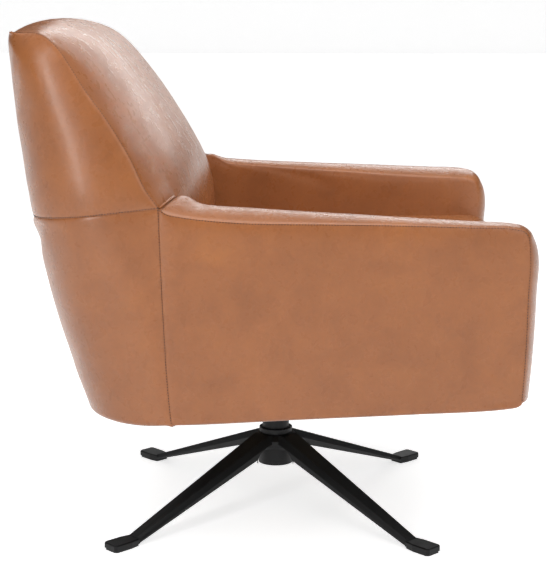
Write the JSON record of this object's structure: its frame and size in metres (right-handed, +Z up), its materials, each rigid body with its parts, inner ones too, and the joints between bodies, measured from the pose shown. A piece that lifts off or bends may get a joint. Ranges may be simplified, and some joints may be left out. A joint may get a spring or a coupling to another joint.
{
  "type": "swivel chair",
  "caption": "Leather lounge chair with an upholstered seat, low arms and a reclined back, swivelling on a black star base with splayed tapered legs.",
  "frame": {"origin": "on the floor, on the swivel axis, at the centre of the base", "axes": "+Z up along the swivel axis, -Y the way the chair faces with the seat at rest, X across the chair"},
  "size_m": [0.794, 0.8, 0.8361],
  "materials": {
    "leather": "semi-gloss",
    "black_metal": "satin",
    "black_plastic": "matte",
    "nylon": "matte",
    "bright_steel": "satin",
    "black_steel": "satin",
    "plywood": "raw",
    "hardwood": "raw",
    "webbing": "woven",
    "felt": "felt",
    "cloth": "non-woven"
  },
  "bodies": {
    "base": {"base_casting": "black_metal", "foot_glides": "black_plastic", "hub_cap": "black_plastic", "column_tube": "black_metal", "column_collar": "black_plastic", "lower_bush": "nylon", "upper_bush": "nylon", "thrust_washer": "nylon"},
    "seat": {"swivel_spindle": "bright_steel", "retaining_clip": "bright_steel", "clip_washer": "bright_steel", "seat_plate": "black_steel", "plate_bolts": "bright_steel", "tee_nuts": "bright_steel", "swivel_board": "plywood", "side_rail_left": "hardwood", "side_rail_right": "hardwood", "front_rail": "hardwood", "rear_rail": "hardwood", "cross_rail_left": "hardwood", "cross_rail_right": "hardwood", "corner_blocks": "hardwood", "seat_webbing": "webbing", "cross_webbing": "webbing", "deck_pad": "felt", "arm_board_left": "plywood", "arm_board_right": "plywood", "arm_pad_left": "leather", "arm_pad_right": "leather", "lower_shell": "leather", "rear_cover": "leather", "back_post_left": "hardwood", "back_post_right": "hardwood", "back_lower_rail": "hardwood", "back_middle_rail": "hardwood", "back_top_rail": "hardwood", "back_webbing": "webbing", "back_pad": "leather", "seat_cushion": "leather", "front_apron": "leather", "dust_cover": "cloth"}
  },
  "joints": [
    {"name": "swivel", "type": "hinge", "parent": "base", "child": "seat", "pos_m": [0, 0, 0.2], "axis": [0, 0, 1], "continuous": true}
  ]
}
